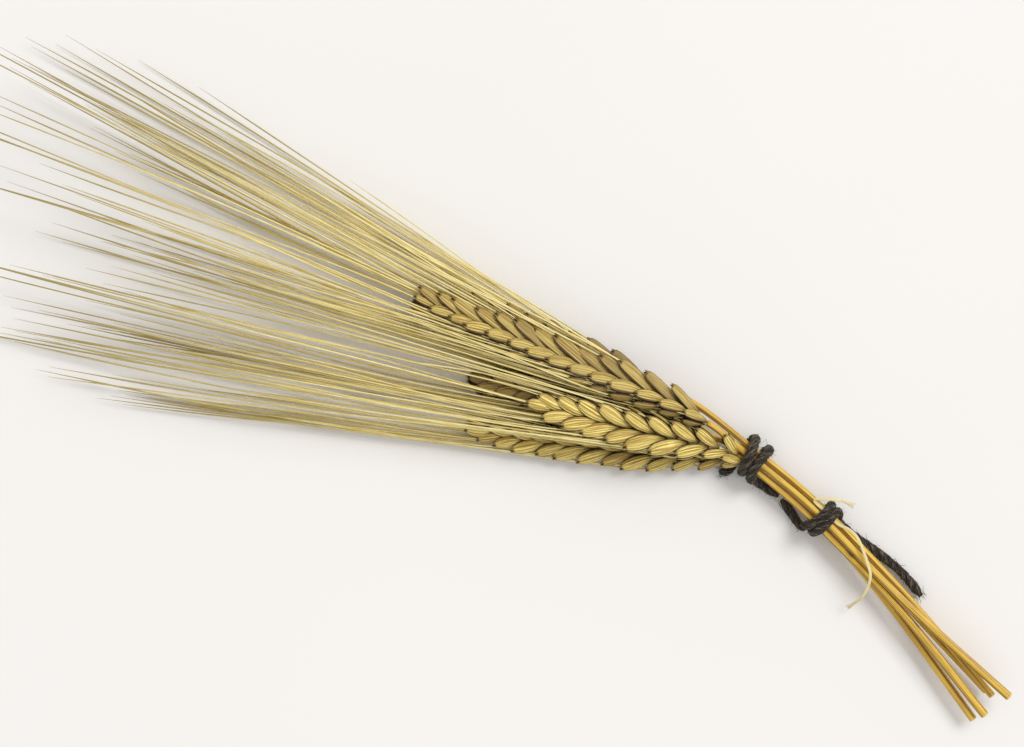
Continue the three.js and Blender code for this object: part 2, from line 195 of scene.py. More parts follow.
# %% Stalks
# Radius, reach and rise are in millimetres; slot, roll and fan are in degrees. A slot is a place in the ring
# of straws, and "base" is the point of the list where the ear starts. "Collar" counts the small spikelets
# below the first full one. The age darkens the chaff, and for ear d, which lies under the others, much of
# that darkening is painted shade. "Vigour" scales the ear, "splay" opens it and "bristles" says how many
# awns it has. The long row, 1 or -1, is a row that shows its glumes flat on.
STALKS = {
    "a": {
        "radius": 1.04, "slot": 90, "cut": (145.0, -20.5, 7.4), "parting": (0.95, 7.7),
        "ear": [(56.5, 7.6, 8.0), (49.6, 9.2, 9.5), (38, 9.6, 10.5), (19, 8.4, 10.4),
                (0, 7.5, 10.1), (-15.0, 6.7, 9.8), (-31.8, 6.2, 9.4)],
        "base": 1, "roll": 34, "long_row": 1, "collar": 0, "age_and_shade": 0.3, "vigour": 1.0, "splay": 0.66,
        "bristles": 1.1, "fan": (-9, 6), "reach": (125, 168), "rise": (-0.5, 7),
    },
    "b": {
        "radius": 1.04, "slot": 162, "cut": (141.8, -27.2, 6.2), "parting": (-1.1, 6.2),
        "ear": [(57.6, 5.2, 6.6), (49.9, 4.0, 8.4), (37.6, 1.3, 10.0), (25.1, -1.2, 10.1), (15, -3.0, 9.8),
                (4.8, -4.4, 9.6)],
        "base": 0, "roll": -6, "long_row": 0, "collar": 2, "age_and_shade": -0.15, "vigour": 1.0, "splay": 0.95,
        "bristles": 0.9, "fan": (-17, -7), "reach": (120, 160), "rise": (-1, 5),
    },
    "c": {
        "radius": 0.98, "slot": 234, "cut": (140.1, -29.4, 4.0), "parting": (-2.3, 3.8),
        "ear": [(57.4, 3.5, 3.5), (51.0, 1.0, 3.1), (37.6, -3.9, 3.2), (23.6, -8.4, 3.3), (9.6, -12.8, 3.2),
                (-5.5, -17.2, 3.1)],
        "base": 0, "roll": -22, "long_row": 0, "collar": 2, "age_and_shade": 0.1, "vigour": 0.9, "splay": 0.95,
        "bristles": 0.5, "fan": (-18, -12), "reach": (115, 150), "rise": (-2, 0.5),
    },
    "d": {
        "radius": 0.85, "slot": 306, "cut": (140.4, -21.8, 2.6), "parting": (0.9, 2.9),
        "ear": [(53.0, 6.9, 3.2), (45.0, 5.6, 3.2), (33.2, 3.9, 3.3), (18.1, 0.6, 3.3), (3.3, -2.8, 3.2),
                (-9.5, -6.0, 3.1)],
        # Much of this ear's age is painted shade, as it lies under the other ears
        "base": 1, "roll": 15, "long_row": 0, "collar": 0, "age_and_shade": 0.85, "vigour": 1.0, "splay": 0.9,
        "bristles": 0.6, "fan": (-15, -5), "reach": (115, 150), "rise": (-2, 1),
    },
    "e": {
        "radius": 0.9, "slot": 18, "cut": (141.6, -22.1, 5.3), "parting": (2.4, 5.3),
        "ear": [(46.3, 12.0, 4.2), (33.0, 12.6, 3.2), (12.3, 11.5, 3.0), (-4.3, 11.2, 2.9),
                (-22.6, 11.2, 2.8)],
        "base": 1, "roll": 24, "long_row": 1, "collar": 0, "age_and_shade": 0.6, "vigour": 0.86, "splay": 0.7,
        "bristles": 1.6, "fan": (-1, 7), "reach": (115, 160), "rise": (-2, 1),
    },
}

HELD_AT = ("lower_tie", "between", "upper_tie")

for key, stalk in STALKS.items():
    ring = [around(STATIONS[name], RING_RADIUS, stalk["slot"]) for name in HELD_AT]
    straw = [stalk["cut"], beside(STATIONS["parting"], 0, *stalk["parting"]), *ring]
    stalk["route"] = Route([*straw, *stalk["ear"]])
    stalk["ear_starts"] = stalk["route"].knots[len(straw) + stalk["base"]]
    ear_length = stalk["route"].length - stalk["ear_starts"]
    print("stalk", key, round(stalk["route"].length, 1), "mm, its ear", round(ear_length, 1), "mm")

# %% [markdown]
# ## Small helpers for node trees
# Geometry Nodes and shader nodes are wired up in the same way: make a node, set its options, then give each
# of its inputs a value or a link. One helper does all three, so that a tree reads from top to bottom like a
# recipe.

# %% Node helpers
def add(tree, kind, inputs=None, **settings):
    """A new node. Inputs are given by name or number, each a socket to link or a plain value."""
    node = tree.nodes.new(kind)
    for name, value in settings.items():
        setattr(node, name, value)
    for key, value in (inputs or {}).items():
        socket = node.inputs[key]
        if isinstance(value, bpy.types.NodeSocket):
            tree.links.new(value, socket)
        else:
            socket.default_value = value
    return node


def math_node(tree, operation, a, b=0.0, c=0.0):
    return add(tree, "ShaderNodeMath", {0: a, 1: b, 2: c}, operation=operation).outputs[0]


def sockets(tree, direction, **kinds):
    for name, kind in kinds.items():
        tree.interface.new_socket(name.replace("_", " "), in_out=direction, socket_type=f"NodeSocket{kind}")


# %% Helpers for Geometry Nodes
def named(tree, name, data_type="FLOAT"):
    node = add(tree, "GeometryNodeInputNamedAttribute", {"Name": name}, data_type=data_type)
    return node.outputs["Attribute"]


def stored(tree, geometry, name, value, domain="POINT"):
    inputs = {"Geometry": geometry, "Name": name, "Value": value}
    return add(tree, "GeometryNodeStoreNamedAttribute", inputs, domain=domain).outputs[0]


def geometry_tree(name, **inputs):
    tree = bpy.data.node_groups.new(name, "GeometryNodeTree")
    sockets(tree, "INPUT", Geometry="Geometry", **inputs)
    sockets(tree, "OUTPUT", Geometry="Geometry")
    return tree, tree.nodes.new("NodeGroupInput").outputs


def finish_tree(tree, geometry, material):
    """Every tree ends alike: real geometry in place of instances, shaded smooth, with its material."""
    real = add(tree, "GeometryNodeRealizeInstances", {"Geometry": geometry}).outputs[0]
    smooth = add(tree, "GeometryNodeSetShadeSmooth", {"Geometry": real}).outputs[0]
    painted = add(tree, "GeometryNodeSetMaterial", {"Geometry": smooth, "Material": material}).outputs[0]
    add(tree, "NodeGroupOutput", {"Geometry": painted})


# %% Meshes and modifiers
def mesh_object(name, points, edges=(), faces=(), **attributes):
    """An object from points in millimetres. Each attribute has one value for each point."""
    mesh = bpy.data.meshes.new(name)
    mesh.from_pydata(in_metres(points).tolist(), list(edges), list(faces))
    kinds = {1: ("FLOAT", "value"), 2: ("FLOAT_VECTOR", "vector")}
    for label, values in attributes.items():
        values = np.asarray(values)
        kind, field = ("INT", "value") if values.dtype.kind == "i" else kinds[values.ndim]
        mesh.attributes.new(label, kind, "POINT").data.foreach_set(field, values.ravel())
    made = bpy.data.objects.new(name, mesh)
    bpy.context.collection.objects.link(made)
    return made


# Points lower than this, in millimetres, are pressed
LOW = 1.2


def lifted(mesh):
    """What would sink into the table is pressed flat against it, as dry chaff is."""
    places = np.empty(len(mesh.vertices) * 3)
    mesh.vertices.foreach_get("co", places)
    heights = places[2::3] / MM
    pressed = LOW * np.exp(np.minimum(heights - LOW, 0) / LOW)
    places[2::3] = np.where(heights < LOW, pressed, heights) * MM
    mesh.vertices.foreach_set("co", places)
    return mesh


def grown(source, tree, **values):
    """Runs a tree on an object and keeps the result as a plain mesh in its place."""
    modifier = source.modifiers.new("grow", "NODES")
    modifier.node_group = tree
    given = [item for item in tree.interface.items_tree if item.in_out == "INPUT"]
    identifiers = {item.name: item.identifier for item in given}
    for label, value in values.items():
        modifier[identifiers[label.replace("_", " ")]] = value
    bpy.context.view_layer.update()
    evaluated = source.evaluated_get(bpy.context.evaluated_depsgraph_get())
    mesh = bpy.data.meshes.new_from_object(evaluated)
    source.modifiers.remove(modifier)
    source.data = lifted(mesh)
    print(source.name, len(mesh.polygons), "faces")
    return source


def strung(runs, thicknesses):
    """Several polylines as one set of points and edges, with a thickness for each point."""
    points = np.vstack(runs)
    edges = []
    start = 0
    for run in runs:
        edges += [(i, i + 1) for i in range(start, start + len(run) - 1)]
        start += len(run)
    return points, edges, np.concatenate(thicknesses)


# %% [markdown]
# ## Grain
# Straw, chaff, awns and twine are all made of long fibres, so they share one effect: fine lines along the
# piece and softer patches of age. It could be painted, but noise that is stretched along the piece gives
# the same lines from every side. The coordinate goes round the piece first and then along it. Only masks
# leave the group, and each material makes its own colours of them.

# %% Shader group for grain
SEED_STEP = 37.0
# Patches are wider than streaks round a piece, and change faster along it
PATCH_WIDTH = 4
PATCH_STRETCH = 2.5


def grain_group():
    tree = bpy.data.node_groups.new("plant grain", "ShaderNodeTree")
    sockets(tree, "INPUT", Around="Float", Along="Float", Turn="Float", Lines="Float", Stretch="Float")
    sockets(tree, "OUTPUT", Streaks="Float", Patches="Float", Height="Float")
    given = tree.nodes.new("NodeGroupInput").outputs
    angle = math_node(tree, "MULTIPLY", given["Around"], math.tau)
    circle = [math_node(tree, operation, angle) for operation in ("COSINE", "SINE")]
    seed = math_node(tree, "MULTIPLY", given["Turn"], SEED_STEP)

    def noise(lines, stretch, detail):
        x, y = (math_node(tree, "MULTIPLY", part, lines) for part in circle)
        x = math_node(tree, "ADD", x, seed)
        z = math_node(tree, "MULTIPLY", given["Along"], stretch)
        vector = add(tree, "ShaderNodeCombineXYZ", {0: x, 1: y, 2: z}).outputs[0]
        inputs = {"Vector": vector, "Scale": 1.0, "Detail": detail, "Roughness": 0.6}
        return add(tree, "ShaderNodeTexNoise", inputs).outputs[0]

    fine = noise(given["Lines"], given["Stretch"], 2.0)
    wide = math_node(tree, "MULTIPLY", given["Lines"], 1 / PATCH_WIDTH)
    coarse = noise(wide, math_node(tree, "MULTIPLY", given["Stretch"], PATCH_STRETCH), 3.0)
    limits = {1: 0.3, 2: 0.7}
    streaks = add(tree, "ShaderNodeMapRange", {0: fine, **limits}).outputs[0]
    patches = add(tree, "ShaderNodeMapRange", {0: coarse, **limits}).outputs[0]
    height = math_node(tree, "MULTIPLY_ADD", streaks, 0.8, math_node(tree, "MULTIPLY", patches, 0.2))
    add(tree, "NodeGroupOutput", {"Streaks": streaks, "Patches": patches, "Height": height})
    return tree


GRAIN = grain_group()
print("grain gives", [socket.name for socket in GRAIN.interface.items_tree if socket.in_out == "OUTPUT"])


# %% Helpers for materials
def mixed(tree, factor, a, b):
    """A mix of two colours, each a socket or three plain values."""
    a, b = (value if isinstance(value, bpy.types.NodeSocket) else (*value, 1) for value in (a, b))
    inputs = {0: factor, 6: a, 7: b}
    return add(tree, "ShaderNodeMix", inputs, data_type="RGBA", clamp_factor=True).outputs[2]


def ramp(tree, value, low, high, smooth=True):
    """A mask that is 0 where the value is low and 1 where it is high."""
    inputs = {0: value, 1: low, 2: high}
    kind = "SMOOTHSTEP" if smooth else "LINEAR"
    return add(tree, "ShaderNodeMapRange", inputs, interpolation_type=kind).outputs[0]


def point_values(tree, *names):
    """What each point of a piece says under these names."""
    return [add(tree, "ShaderNodeAttribute", attribute_name=name).outputs["Fac"] for name in names]


def new_material(name, **values):
    """A material with one surface, whose even values are set on its own sockets."""
    material = bpy.data.materials.new(name)
    material.use_nodes = True
    tree = material.node_tree
    tree.nodes.clear()
    inputs = {label.replace("_", " "): value for label, value in values.items()}
    surface = add(tree, "ShaderNodeBsdfPrincipled", inputs)
    add(tree, "ShaderNodeOutputMaterial", {"Surface": surface.outputs[0]})
    return material, tree, surface


def place_grain(tree, **inputs):
    return add(tree, "ShaderNodeGroup", inputs, node_tree=GRAIN).outputs


def grained(tree, lines, stretch):
    """The places round and along a piece, the piece's own shade, and the grain there."""
    around, along, tint = point_values(tree, "around", "along", "tint")
    grain = place_grain(tree, Around=around, Along=along, Turn=tint, Lines=lines, Stretch=stretch)
    return around, along, tint, grain


def layered(tree, colour, *layers):
    """Lays tones over a colour. A layer is a mask, the most that it covers as a share, and a tone."""
    for mask, share, tone in layers:
        colour = mixed(tree, math_node(tree, "MULTIPLY", mask, share), colour, tone)
    return colour


def dress(tree, surface, colour, mask, rough, height, bump):
    """Links what changes over a piece. The mask leads from the least to the greatest roughness, and the bump
    is a strength and a depth in millimetres."""
    roughness = add(tree, "ShaderNodeMapRange", {0: mask, 3: rough[0], 4: rough[1]}).outputs[0]
    inputs = {"Height": height, "Strength": bump[0], "Distance": bump[1] * MM}
    normal = add(tree, "ShaderNodeBump", inputs).outputs[0]
    for name, socket in (("Base Color", colour), ("Roughness", roughness), ("Normal", normal)):
        tree.links.new(socket, surface.inputs[name])


# %% [markdown]
# ## Five finishes
# Straw is golden and has a waxy gloss, with brown lines where its sheath was folded, and darker patches.
# Chaff is paler and drier, pale gold on the crown of each scale. Painted shade darkens each scale at its
# foot, along its thin edges and in the hollow behind its skin, where the scales shade each other. Awns are
# the colour of pale chaff and dull towards their ends. Twine is nearly black-brown, with lighter fibres that
# stand out of it, and the loose strand is bleached. Pictures could be wrapped round the pieces, but patterns
# that read how far along and around its piece a point lies bend with the piece and stay sharp.

# %% Straw finish
SHEATH_LINES = 3
# Where the first line stands, and how far it turns from straw to straw
SHEATH_START = 0.5
SHEATH_TURN = 2.3
STRAW_TONES = {
    "deep": (0.34, 0.17, 0.012), "light": (0.86, 0.57, 0.06), "aged": (0.34, 0.17, 0.015),
    "warm": (0.66, 0.40, 0.04), "sheath": (0.20, 0.09, 0.01), "cut": (0.72, 0.55, 0.24),
    "bruise": (0.10, 0.045, 0.012),
}


def straw_material():
    material, tree, surface = new_material(
        "dry straw", Specular_IOR_Level=0.5, Coat_Weight=0.08, Coat_Roughness=0.25)
    around, along, tint, grain = grained(tree, 6.0, 0.05)
    start = math_node(tree, "MULTIPLY_ADD", tint, SHEATH_TURN, SHEATH_START)
    fold = math_node(tree, "MULTIPLY_ADD", around, SHEATH_LINES, start)
    wave = math_node(tree, "COSINE", math_node(tree, "MULTIPLY", fold, math.tau))
    tones = STRAW_TONES
    gold = mixed(tree, ramp(tree, grain["Streaks"], 0.15, 0.75), tones["deep"], tones["light"])
    colour = layered(
        tree, gold,
        (ramp(tree, grain["Patches"], 0.5, 1.0), 0.45, tones["aged"]),
        (tint, 0.3, tones["warm"]),
        (ramp(tree, wave, 0.55, 1.0), 0.85, tones["sheath"]),
        (ramp(tree, along, 0.5, 0.1), 0.7, tones["cut"]),
        (point_values(tree, "scar")[0], 0.9, tones["bruise"]),
    )
    dress(tree, surface, colour, grain["Streaks"], (0.2, 0.45), grain["Height"], (0.7, 0.07))
    return material


STRAW = straw_material()
print("material", STRAW.name, "with", len(STRAW.node_tree.nodes), "nodes")

# %% Chaff finish
RIBS = 6
RIB_SWING = 0.07
# The foot, edge and hollow tones are painted shade
CHAFF_TONES = {
    "deep": (0.36, 0.22, 0.03), "light": (1.0, 0.82, 0.26), "line": (0.30, 0.18, 0.03),
    "foot": (0.17, 0.085, 0.015), "aged": (0.32, 0.18, 0.04), "dull": (0.23, 0.15, 0.05),
    "tip": (0.10, 0.05, 0.012), "edge": (0.04, 0.016, 0.006), "hollow": (0.11, 0.06, 0.02),
}


def chaff_material():
    material, tree, surface = new_material("dry chaff", Specular_IOR_Level=0.35)
    across, along, tint, inside = point_values(tree, "across", "along", "tint", "inside")
    around = math_node(tree, "MULTIPLY", across, 0.4)
    grain = place_grain(tree, Around=around, Along=along, Turn=tint, Lines=7.0, Stretch=0.9)
    swung = math_node(tree, "MULTIPLY_ADD", grain["Patches"], RIB_SWING, across)
    wave = math_node(tree, "COSINE", math_node(tree, "MULTIPLY", swung, RIBS * math.tau))
    ribs = ramp(tree, wave, -1.0, 1.0, False)
    from_keel = math_node(tree, "ABSOLUTE", math_node(tree, "SUBTRACT", across, 0.5))
    tones = CHAFF_TONES
    gold = mixed(tree, ramp(tree, grain["Streaks"], 0.15, 0.85), tones["deep"], tones["light"])
    colour = layered(
        tree, gold,
        (ramp(tree, ribs, 0.45, 0.0), 0.5, tones["line"]),
        # Painted shade: each scale darker towards its foot, where the scale below covers it
        (ramp(tree, along, 0.42, 0.05), 0.9, tones["foot"]),
        (ramp(tree, grain["Patches"], 0.5, 1.0), 0.5, tones["aged"]),
        # Tint: random tone, darker lemmas and the stalk's age, which for ear d is partly painted shade
        (ramp(tree, tint, 0.15, 1.1, False), 0.85, tones["dull"]),
        (ramp(tree, along, 0.90, 1.0), 0.75, tones["tip"]),
        # Painted shade: nearly black along the thin edges, the shadow in the slits between scales
        (ramp(tree, from_keel, 0.26, 0.46), 0.97, tones["edge"]),
        # Painted shade: the hollow behind a scale's skin is dark, as the shade in its mouth
        (ramp(tree, inside, 0.1, 0.5), 0.98, tones["hollow"]),
    )
    height = math_node(tree, "MULTIPLY_ADD", ribs, 0.7, math_node(tree, "MULTIPLY", grain["Height"], 0.5))
    dress(tree, surface, colour, grain["Streaks"], (0.353, 0.647), height, (1.0, 0.16))
    return material


CHAFF = chaff_material()
print("material", CHAFF.name, "with", len(CHAFF.node_tree.nodes), "nodes")


# %% Awn, twine and fibre finishes
def awn_material():
    material, tree, surface = new_material("dry awn", Specular_IOR_Level=0.35)
    _, along, tint, grain = grained(tree, 2.0, 0.12)
    gold = mixed(tree, grain["Patches"], (0.72, 0.58, 0.18), (0.99, 0.90, 0.50))
    toned = layered(tree, gold, (tint, 0.45, (0.44, 0.30, 0.06)))
    dulled = layered(tree, toned, (ramp(tree, along, 50, 130), 0.85, (0.29, 0.22, 0.065)))
    dress(tree, surface, dulled, grain["Patches"], (0.294, 0.588), grain["Height"], (0.3, 0.03))
    return material


def twine_material():
    material, tree, surface = new_material("dark twine", Specular_IOR_Level=0.5)
    _, _, tint, grain = grained(tree, 4.0, 0.9)
    brown = mixed(tree, ramp(tree, grain["Streaks"], 0.45, 0.85), (0.007, 0.005, 0.004), (0.33, 0.26, 0.18))
    worn = layered(tree, brown, (ramp(tree, tint, 0.6, 1.0), 0.6, (0.30, 0.22, 0.12)))
    dress(tree, surface, worn, grain["Streaks"], (0.533, 0.867), grain["Height"], (1.0, 0.4))
    return material


def fibre_material():
    material, tree, surface = new_material("pale fibre")
    _, _, _, grain = grained(tree, 2.5, 0.25)
    pale = mixed(tree, grain["Streaks"], (0.66, 0.54, 0.24), (0.96, 0.87, 0.52))
    dress(tree, surface, pale, grain["Streaks"], (0.3125, 0.625), grain["Height"], (0.6, 0.06))
    return material


AWN = awn_material()
TWINE = twine_material()
FIBRE = fibre_material()
print("materials", [material.name for material in (AWN, TWINE, FIBRE)])

# %% [markdown]
# ## Straws
# A straw is a hollow tube with fine ribs. It could be a swept circle, but the cut end has to show the
# hollow and the thickness of the wall, so rings are laid along the route in mesh code: from inside the
# hollow to the cut, over its worn rim, and along the outside to the ear. Each ring is a little uneven,
# because dried straws shrink between their ribs.

# %% Rings of a straw
# Ribs and oval are shares of the radius, turn and twist are radians, and lengths are millimetres
STRAW_SIDES = 28
STRAW_RIBS = 9
RIB_DEPTH = 0.018
RIB_TURN = 0.4
RIB_TWIST = 0.01
OVAL = 0.02
STRAW_WALL = 0.42
STRAW_HOLLOW = 9.0
HOLLOW_RINGS = 5
STRAW_RADIUS_EAR = 0.8
WORN_RIM = {"depth": 0.06, "length": 0.15}
RING_SPACING = 2.0
INTO_EAR = 1.0


def between(limits, share):
    return limits[0] + (limits[1] - limits[0]) * share


def ring_points(route, distance, radius, turn):
    point, _, side, normal = route.frame(distance)
    angles = np.arange(STRAW_SIDES) * math.tau / STRAW_SIDES
    uneven = RIB_DEPTH * np.cos(STRAW_RIBS * angles + turn) + OVAL * np.cos(2 * angles + turn)
    radii = radius * (1 + uneven)
    return point + np.outer(radii * np.cos(angles), side) + np.outer(radii * np.sin(angles), normal)


def straw_rings(stalk, tint):
    """How far along each ring lies, and the points of all the rings."""
    end = stalk["ear_starts"] + INTO_EAR
    inner = np.linspace(STRAW_HOLLOW, 0, HOLLOW_RINGS)
    outer = [0, WORN_RIM["length"], *np.arange(RING_SPACING, end, RING_SPACING), end]
    distances = np.array([*inner, *outer])
    radii = between((stalk["radius"], STRAW_RADIUS_EAR), distances / end)
    radii[:len(inner)] -= STRAW_WALL
    radii[len(inner)] -= WORN_RIM["depth"]
    turns = RIB_TURN * tint + RIB_TWIST * distances
    rings = [ring_points(stalk["route"], *ring) for ring in zip(distances, radii, turns)]
    return distances, np.vstack(rings)


# %% Straws
# Brown bruises: the middle and the size of each
SCARS = [
    (np.array(beside(STATIONS["lower_tie"], 10.0, -1.4, 8.0)), np.array([0.9, 0.7, 2.0])),
    (np.array(beside(STATIONS["parting"], 6.5, 0.0, 7.0)), np.array([1.2, 0.8, 3.0])),
]
SCAR_REACH = 1.4
STRAW_TINTS = (0.15, 0.55, 0.85, 0.35, 0.7)


def scars_at(points):
    """How much of a bruise, from 0 to 1, each point of a straw has."""
    away = [np.linalg.norm((points - centre) / size, axis=1) for centre, size in SCARS]
    return np.clip(SCAR_REACH - np.min(away, axis=0), 0, 1)


def tube_faces(ring_count, sides):
    """Faces between rings that follow one another, and a cap at both ends, all facing outwards."""
    last = (ring_count - 1) * sides
    faces = []
    for low in range(0, last, sides):
        high = low + sides
        for j in range(sides):
            k = (j + 1) % sides
            faces.append((high + j, high + k, low + k, low + j))
    return [*faces, tuple(range(sides)), tuple(range(last, last + sides))[::-1]]


def make_straw(name, stalk, tint):
    distances, points = straw_rings(stalk, tint)
    faces = tube_faces(len(distances), STRAW_SIDES)
    made = mesh_object(
        name, points, faces=faces, around=np.tile(np.arange(STRAW_SIDES) / STRAW_SIDES, len(distances)),
        along=np.repeat(distances, STRAW_SIDES), tint=np.full(len(points), tint), scar=scars_at(points),
    )
    made.data.materials.append(STRAW)
    made.data.polygons.foreach_set("use_smooth", [True] * len(faces))
    print(name, "radius", stalk["radius"], "mm,", len(faces), "faces")
    return made


straws = {key: make_straw(f"straw_{key}_skin", stalk, tint)
          for (key, stalk), tint in zip(STALKS.items(), STRAW_TINTS)}

# %% [markdown]
# ## The scales of an ear
# A spikelet is wrapped in boat-shaped scales: two glumes outside, and lemmas that stand out further between
# them. A modelled shape for each kind is copied to every place by a rule, as the plant does it, with its
# growth, lean and tone drawn from a fixed seed. A shell with a real edge is used, not a solid bead, because
# the dark mouth at the tip of a scale, a real hollow with painted shade inside it, makes an ear look crisp.

# %% Skin of a scale
# Rows from foot to mouth: how high each is, the half width of a leaf-shaped scale and of a long blade, how
# far the crown stands out, and how the back bows. All are shares of the scale's length, width and depth.
OUTLINE = {
    "height": [0.0, 0.12, 0.30, 0.50, 0.68, 0.84, 0.94, 1.0],
    "leaf": [0.02, 0.13, 0.31, 0.46, 0.50, 0.44, 0.31, 0.19],
    "blade": [0.16, 0.33, 0.46, 0.50, 0.50, 0.46, 0.36, 0.20],
    "crown": [0.05, 0.20, 0.36, 0.48, 0.50, 0.43, 0.30, 0.20],
    "bow": [-0.34, -0.12, 0.01, 0.06, 0.04, -0.01, -0.05, -0.05],
}
TEETH = [-0.07, 0.0, 0.045, -0.06, 0.035, -0.07]
# How far the skin wraps to each side and where its keel stands, in radians. A lower power flattens the back.
WRAP = 1.55
FLATNESS = 0.75
KEEL_ANGLE = 0.35
KEEL_WIDTH = 0.4
MOUTH_DEPTH = 0.55


def scale_points(outline, keel, slant):
    """The outer skin, row by row, then one line of points along the hollow behind it."""
    v = np.array(OUTLINE["height"])
    half_width, crown, bow = (np.array(OUTLINE[key])[:, None] for key in (outline, "crown", "bow"))
    angles = np.linspace(-WRAP, WRAP, len(TEETH))
    rise = np.cos(angles) ** FLATNESS + keel * np.exp(-(((angles - KEEL_ANGLE) / KEEL_WIDTH) ** 2))
    x = half_width * np.sin(angles) + slant * np.sin(math.pi * v)[:, None]
    y = crown * rise + bow
    z = np.repeat(v[:, None], len(TEETH), axis=1)
    z[-1] += TEETH
    skin = np.stack([x, y, z], axis=-1).reshape(-1, 3)
    hollow = np.stack([x.mean(axis=1), (crown * MOUTH_DEPTH + bow)[:, 0], v], axis=-1)
    return skin, hollow


# %% One scale as a thin shell
def scale_faces(rows, columns):
    """The faces of the outer skin, and those of the hollow with the foot and the mouth."""
    first_hollow = rows * columns
    outer, inner = [], []
    for row in range(rows - 1):
        low, high = row * columns, (row + 1) * columns
        for j in range(columns - 1):
            outer.append((high + j, high + j + 1, low + j + 1, low + j))
        middle = first_hollow + row
        inner.append((low, middle, middle + 1, high))
        inner.append((middle, low + columns - 1, high + columns - 1, middle + 1))
    last = (rows - 1) * columns
    inner.append((*range(columns), first_hollow))
    inner.append((*range(last, last + columns), first_hollow + rows - 1)[::-1])
    return outer, inner


def scale_mesh(name, outline, keel, slant):
    """A scale one unit long, wide and deep. The keel is a ridge, and the slant pushes it to one side."""
    skin, hollow = scale_points(outline, keel, slant)
    rows, columns = len(hollow), len(TEETH)
    outer, inner = scale_faces(rows, columns)
    across = np.concatenate([np.tile(np.linspace(0, 1, columns), rows), np.full(rows, 0.5)])
    along = np.concatenate([np.repeat(OUTLINE["height"], columns), OUTLINE["height"]])
    # The points of the hollow are marked, for the painted shade inside a scale
    inside = np.concatenate([np.zeros(len(skin)), np.ones(rows)])
    points = np.vstack([skin, hollow]) / MM + OUTLINE_MIDDLE
    made = mesh_object(name, points, faces=outer + inner, across=across, along=along, inside=inside)
    sharpen_rim(made.data, len(outer))
    return made


def sharpen_rim(mesh, outer_count):
    """The rim, where the outer skin meets the hollow, is a crisp edge."""
    sides = {}
    for face in mesh.polygons:
        for key in face.edge_keys:
            sides.setdefault(key, set()).add(face.index < outer_count)
    for edge in mesh.edges:
        edge.use_edge_sharp = len(sides[edge.key]) == 2


# Outline, keel and slant of a right and a left glume, a lemma and a long blade
SCALE_SHAPES = [("leaf", 0.10, 0.07), ("leaf", 0.10, -0.07), ("leaf", 0.04, 0.0), ("blade", 0.05, 0.02)]
GLUME_SHAPES = {1: 0, -1: 1}
LEMMA_SHAPE = 2
BLADE_SHAPE = 3
SHAPES = bpy.data.collections.new("scale shapes")
for number, (outline, keel, slant) in enumerate(SCALE_SHAPES):
    shape = scale_mesh(f"scale_{number}", outline, keel, slant)
    bpy.context.collection.objects.unlink(shape)
    SHAPES.objects.link(shape)
print("a scale has", len(shape.data.polygons), "faces")

# %% [markdown]
# ## Where the scales stand
# Spikelets stand in two rows, turn and turn about, and splay from the stem inside the ear. They are small
# at the foot, full from a quarter of the way up and smaller at the tip. Each could be placed by hand, but
# one rule keeps them as even as they grew. The solids follow it too, with a little more splay and shorter
# glumes, so each scale here lies over its plain one.

# %% Spikelets
# Lengths are in millimetres
PITCH = 2.7
FIRST_SPIKELET = 1.2
ROOM_AT_TIP = 5
SUNK = 0.8
ROOT_OFFSET = 0.35
# At the foot and at the tip, in degrees
SPLAY = (24, 13)
# Sizes of a spikelet as shares of a full one
FOOT_SIZE = 0.64
TIP_SIZE = 0.82


def smooth_step(value, low, high):
    t = np.clip((value - low) / (high - low), 0, 1)
    return t * t * (3 - 2 * t)


def growth_at(share):
    grown_up = between((FOOT_SIZE, 1), smooth_step(share, -0.1, 0.25))
    return grown_up * between((1, TIP_SIZE), smooth_step(share, 0.7, 1))


def spikelets_of(stalk):
    route, start = stalk["route"], stalk["ear_starts"]
    count = int((route.length - start - FIRST_SPIKELET - ROOM_AT_TIP) / PITCH)
    found = []
    for i in range(-stalk["collar"], count):
        share = i / (count - 1)
        point, direction, side, normal = route.frame(start + FIRST_SPIKELET + i * PITCH, stalk["roll"])
        row = 1 if i % 2 else -1
        growth = stalk["vigour"] * growth_at(share)
        is_last = i == count - 1
        splay = 0 if is_last else math.radians(between(SPLAY, share**2) * stalk["splay"])
        outwards = side * row
        along = direction * math.cos(splay) + outwards * math.sin(splay)
        root = point - along * SUNK + outwards * ROOT_OFFSET * growth
        found.append({"share": share, "row": row, "growth": growth, "along": along, "normal": normal,
                      "outwards": unit(outwards - along * (outwards @ along)), "root": root,
                      "is_long": row == stalk["long_row"]})
    return found


for stalk in STALKS.values():
    stalk["spikelets"] = spikelets_of(stalk)
print("spikelets", [len(stalk["spikelets"]) for stalk in STALKS.values()])

# %% Scales of a spikelet
# Size is width, depth and length. The foot stands "up" and "out" from the root of the spikelet, all in
# millimetres. The scale leans out by so many degrees, give or take the spread.
GLUME = {"size": (3.8, 2.2, 11.4), "up": 0, "out": 0.8, "lean": 9, "spread": 1.2}
BLADE = {"size": (3.7, 1.3, 14.0), "up": 0, "out": 0.8, "lean": 12, "spread": 1.2}
MIDDLE_LEMMA = {"size": (3.2, 1.9, 8.9), "up": 1.6, "out": 0.9, "lean": 3, "spread": 1.5}
SIDE_LEMMA = {"size": (2.3, 1.7, 8.9), "up": 1.7, "out": 0.3, "lean": 8, "spread": 1.5}
SIZE_SPREAD = 0.035
SEED = 11


def leaning(along, outward, degrees):
    """The direction leant towards its outward side, and that side turned with it."""
    cos, sin = math.cos(math.radians(degrees)), math.sin(math.radians(degrees))
    return along * cos + outward * sin, outward * cos - along * sin


